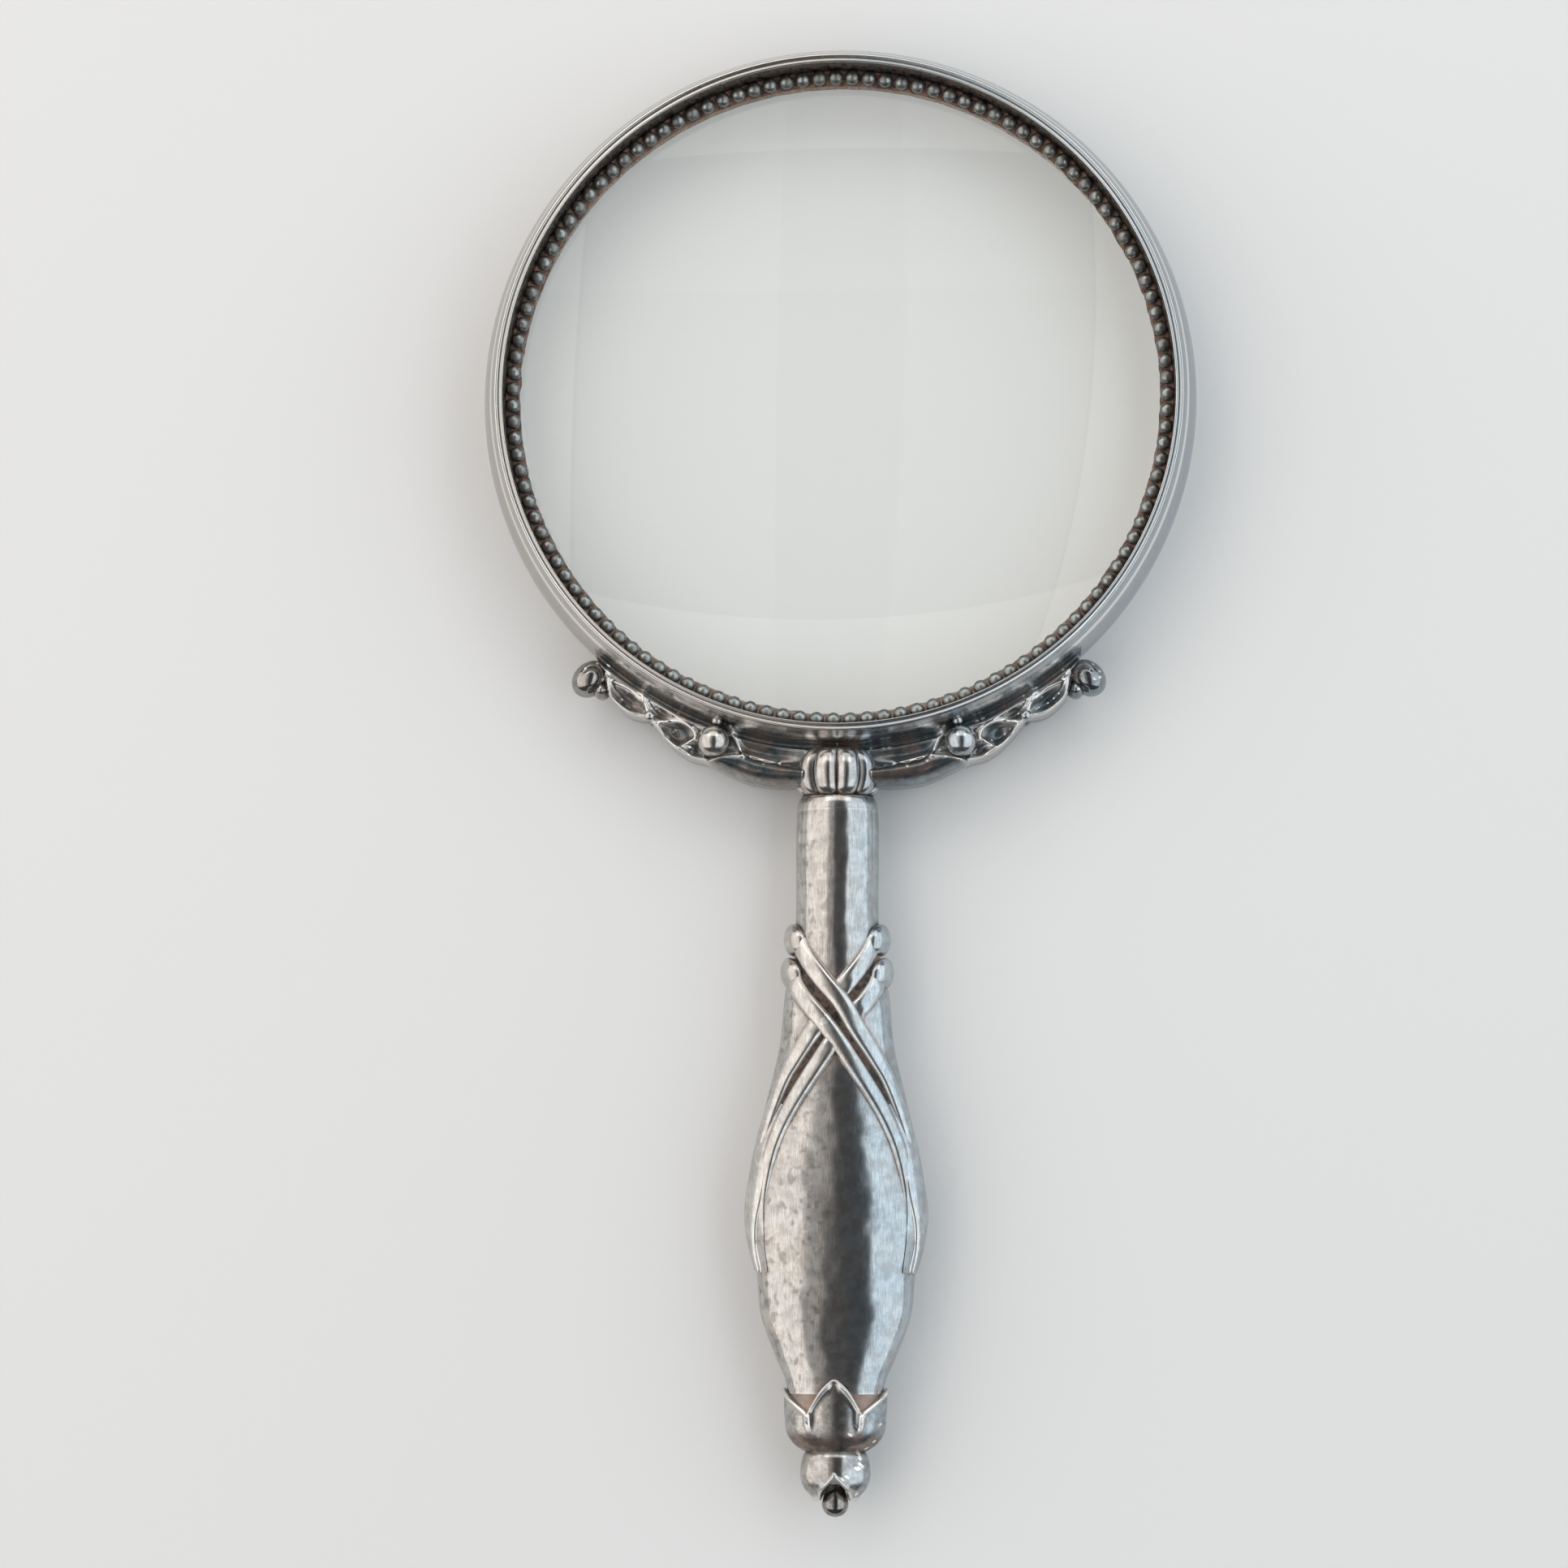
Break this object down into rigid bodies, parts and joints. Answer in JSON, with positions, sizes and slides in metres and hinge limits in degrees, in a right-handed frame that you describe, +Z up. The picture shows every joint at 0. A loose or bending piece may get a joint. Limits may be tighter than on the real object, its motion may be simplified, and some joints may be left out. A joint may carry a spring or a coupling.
{
  "type": "magnifying glass",
  "caption": "Hand magnifier lying face up: a round lens in a beaded silver ring, a leaf cradle, a fluted collar and a hammered handle with crossed straps and a bud finial.",
  "frame": {"origin": "under the middle of the object's bounding box, on the surface it lies on", "axes": "+Z is up along the lens axis, out of the front of the lens; +Y runs from the handle to the ring; +X is to the right when the handle points at the viewer"},
  "size_m": [0.0966, 0.1982, 0.012],
  "materials": {
    "polished_silver": "worn polished silver with fine scratches and brown tarnish in the recesses",
    "hammered_silver": "hand-hammered silver with soft dimples and lengthwise brush marks",
    "cast_silver": "cast and chased silver, dark brown oxide in the hollows and bright worn edges",
    "strap_silver": "worn half-round silver strip with dark solder lines",
    "tarnished_silver": "blackened beaded silver",
    "lens_glass": "polished clear optical glass, very slightly green",
    "packing_cork": "thin cork cushion strip",
    "handle_pitch": "hard brown setting pitch",
    "core_steel": "plain drawn steel rod"
  },
  "bodies": {
    "root": {"back_inner_over_strap": "strap_silver", "back_inner_under_strap_lower": "strap_silver", "back_inner_under_strap_upper": "strap_silver", "back_outer_over_strap": "strap_silver", "back_outer_under_strap_lower": "strap_silver", "back_outer_under_strap_upper": "strap_silver", "bud_finial": "cast_silver", "calyx_cup": "cast_silver", "collar": "cast_silver", "end_plate": "cast_silver", "finial_rod": "core_steel", "front_bead_border": "tarnished_silver", "front_inner_over_strap": "strap_silver", "front_inner_under_strap_lower": "strap_silver", "front_inner_under_strap_upper": "strap_silver", "front_left_berry": "cast_silver", "front_outer_over_strap": "strap_silver", "front_outer_under_strap_lower": "strap_silver", "front_outer_under_strap_upper": "strap_silver", "front_right_berry": "cast_silver", "front_rim_wire": "polished_silver", "handle_back_shell": "hammered_silver", "handle_filler": "handle_pitch", "handle_front_shell": "hammered_silver", "left_inner_leaf": "cast_silver", "left_lower_knuckle": "strap_silver", "left_middle_leaf": "cast_silver", "left_outer_leaf": "cast_silver", "left_saddle_arm": "cast_silver", "left_scroll_end": "cast_silver", "left_upper_knuckle": "strap_silver", "lens": "lens_glass", "lens_packing": "packing_cork", "neck_cap": "polished_silver", "rear_left_berry": "cast_silver", "rear_retaining_ring": "tarnished_silver", "rear_right_berry": "cast_silver", "rear_rim_wire": "polished_silver", "right_inner_leaf": "cast_silver", "right_lower_knuckle": "strap_silver", "right_middle_leaf": "cast_silver", "right_outer_leaf": "cast_silver", "right_saddle_arm": "cast_silver", "right_scroll_end": "cast_silver", "right_upper_knuckle": "strap_silver", "rim_band": "polished_silver", "tang": "core_steel", "tip_bead": "cast_silver"}
  },
  "joints": []
}
